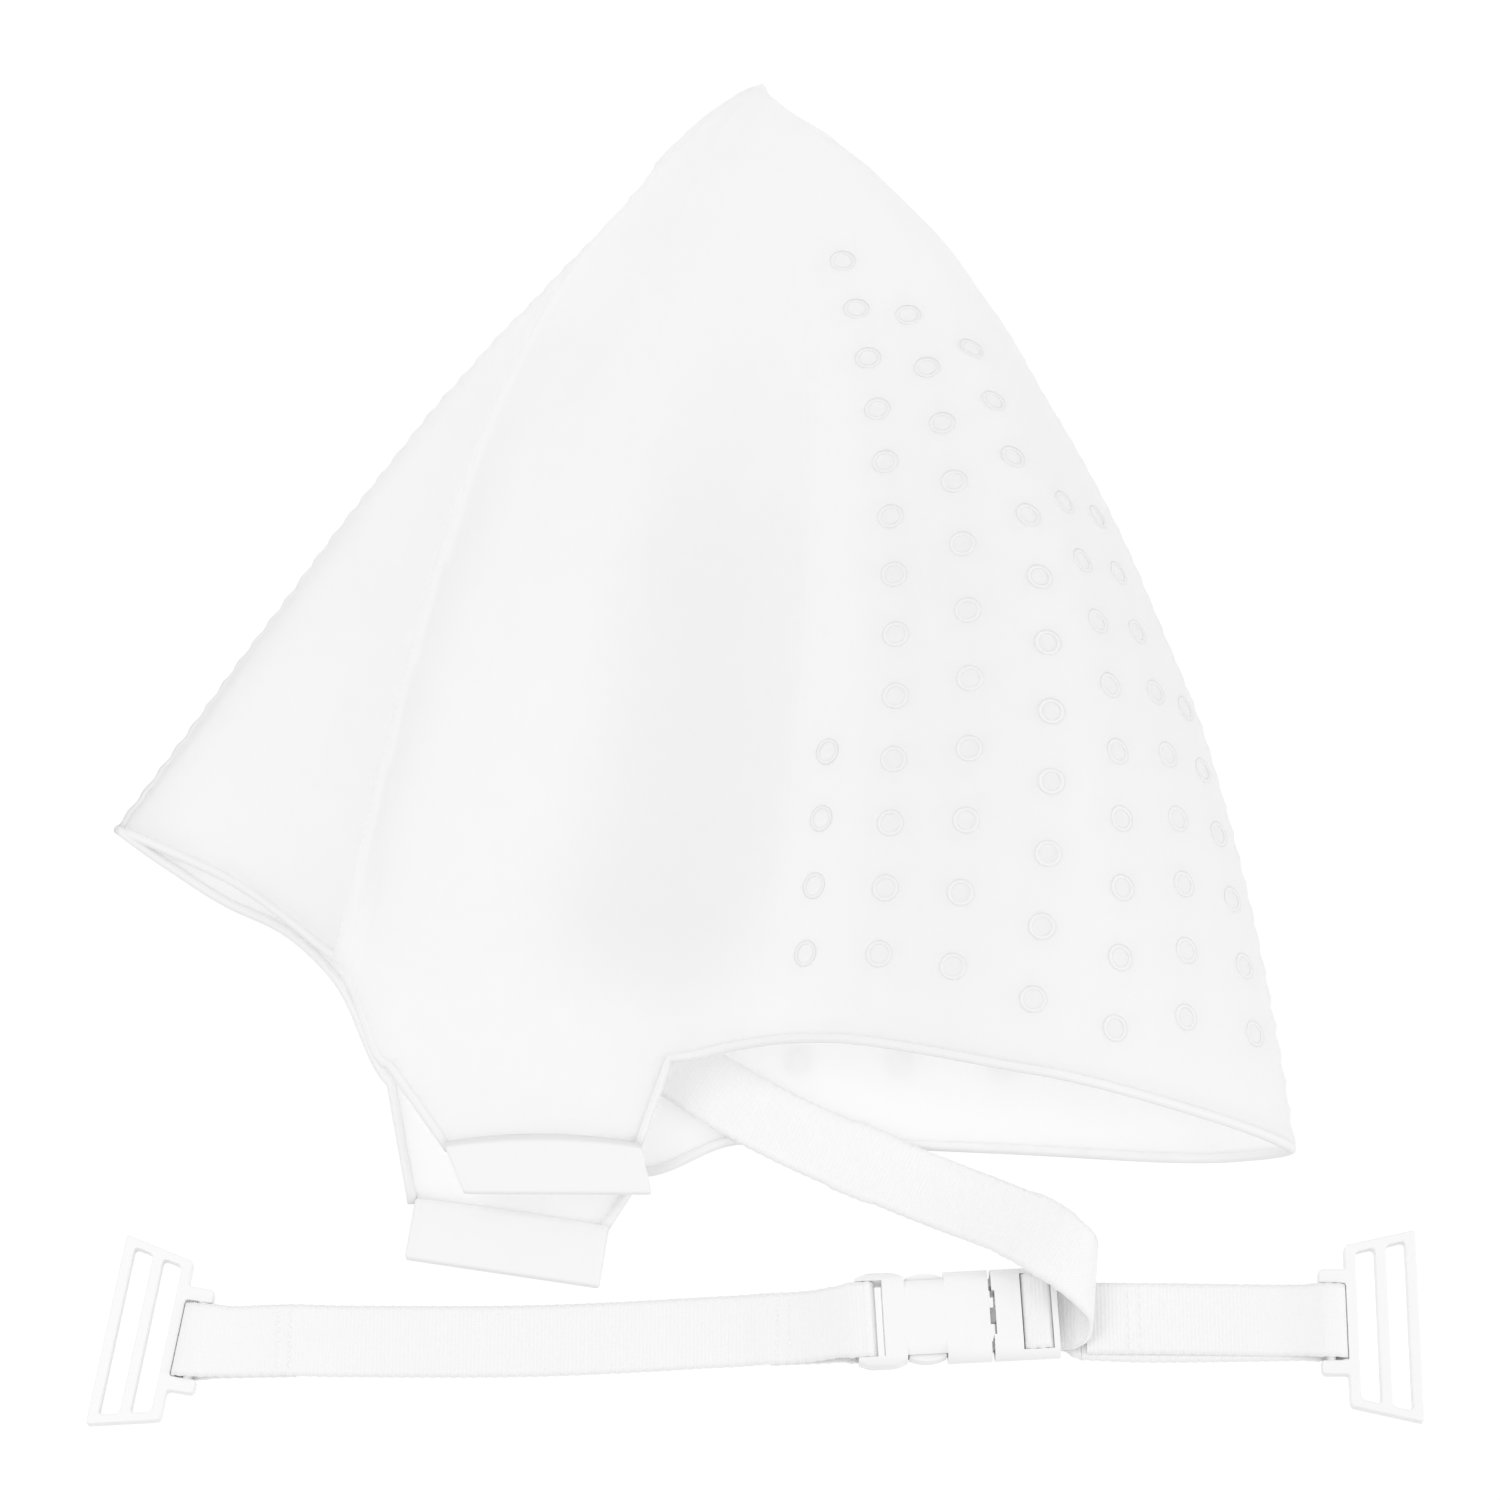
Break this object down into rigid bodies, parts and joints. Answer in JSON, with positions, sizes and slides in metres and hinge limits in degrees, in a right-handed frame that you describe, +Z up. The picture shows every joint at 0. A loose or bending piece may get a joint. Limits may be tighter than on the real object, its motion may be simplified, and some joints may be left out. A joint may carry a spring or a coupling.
{
  "type": "highlighting cap",
  "caption": "Soft silicone hair highlighting cap with ear flaps, folded on its side, and a separate webbing chin strap with slotted end plates and a side-release buckle.",
  "frame": {"origin": "on the table, under the centre of the bounding box of cap and strap as they lie", "axes": "+X along the strap towards its right plate, +Y from the strap to the crown of the cap, +Z up from the table"},
  "size_m": [0.272, 0.3019, 0.0491],
  "materials": {
    "silicone": "satin, slightly translucent silicone",
    "plate_plastic": "satin moulded",
    "buckle_plastic": "semi-gloss moulded acetal",
    "webbing": "woven ribbed webbing",
    "thread": "sewing thread"
  },
  "bodies": {
    "cap": {"cap_shell": "silicone", "rim_bead": "silicone", "hole_rings": "silicone", "near_ear_tab": "silicone", "far_ear_tab": "silicone"},
    "socket": {"buckle_socket": "buckle_plastic", "left_strap": "webbing", "left_plate_stitching": "thread", "socket_stitching": "thread"},
    "left_plate": {"left_slot_plate": "plate_plastic"},
    "plug": {"buckle_plug": "buckle_plastic", "right_strap": "webbing", "strap_tail": "webbing"},
    "far_prong": {"far_prong": "buckle_plastic"},
    "near_prong": {"near_prong": "buckle_plastic"},
    "right_loop": {"right_plate_loop": "webbing", "right_plate_stitching": "thread"},
    "right_plate": {"right_slot_plate": "plate_plastic"}
  },
  "joints": [
    {"name": "strap_pull_away", "type": "slide", "parent": "cap", "child": "socket", "axis": [0, -1, 0], "range_m": [0, 0.15]},
    {"name": "buckle_release", "type": "slide", "parent": "socket", "child": "plug", "axis": [0.9986, 0.0523, 0], "range_m": [0, 0.03], "deforming": ["near_prong", "far_prong"]},
    {"name": "far_prong_squeeze", "type": "hinge", "parent": "plug", "child": "far_prong", "pos_m": [0.04946, -0.12121, 0.0035], "axis": [0, 0, 1], "range_deg": [0, 6], "stiffness_Nm_per_rad": 0.3},
    {"name": "near_prong_squeeze", "type": "hinge", "parent": "plug", "child": "near_prong", "pos_m": [0.05014, -0.13419, 0.0035], "axis": [0, 0, 1], "range_deg": [-6, 0], "stiffness_Nm_per_rad": 0.3},
    {"name": "left_plate_swing", "type": "hinge", "parent": "socket", "child": "left_plate", "pos_m": [-0.1147, -0.13275, 0.0022], "axis": [0.165, 0.9863, 0], "range_deg": [0, 130]},
    {"name": "strap_adjust", "type": "slide", "parent": "plug", "child": "right_loop", "axis": [1, 0, 0], "range_m": [0, 0.06], "deforming": ["right_strap"]},
    {"name": "right_plate_swing", "type": "hinge", "parent": "right_loop", "child": "right_plate", "pos_m": [0.1173, -0.1288, 0.0022], "axis": [0, -1, 0], "range_deg": [0, 130]}
  ],
  "couplings": [
    {"joint": "near_prong_squeeze", "follows": "far_prong_squeeze", "ratio": -1}
  ]
}
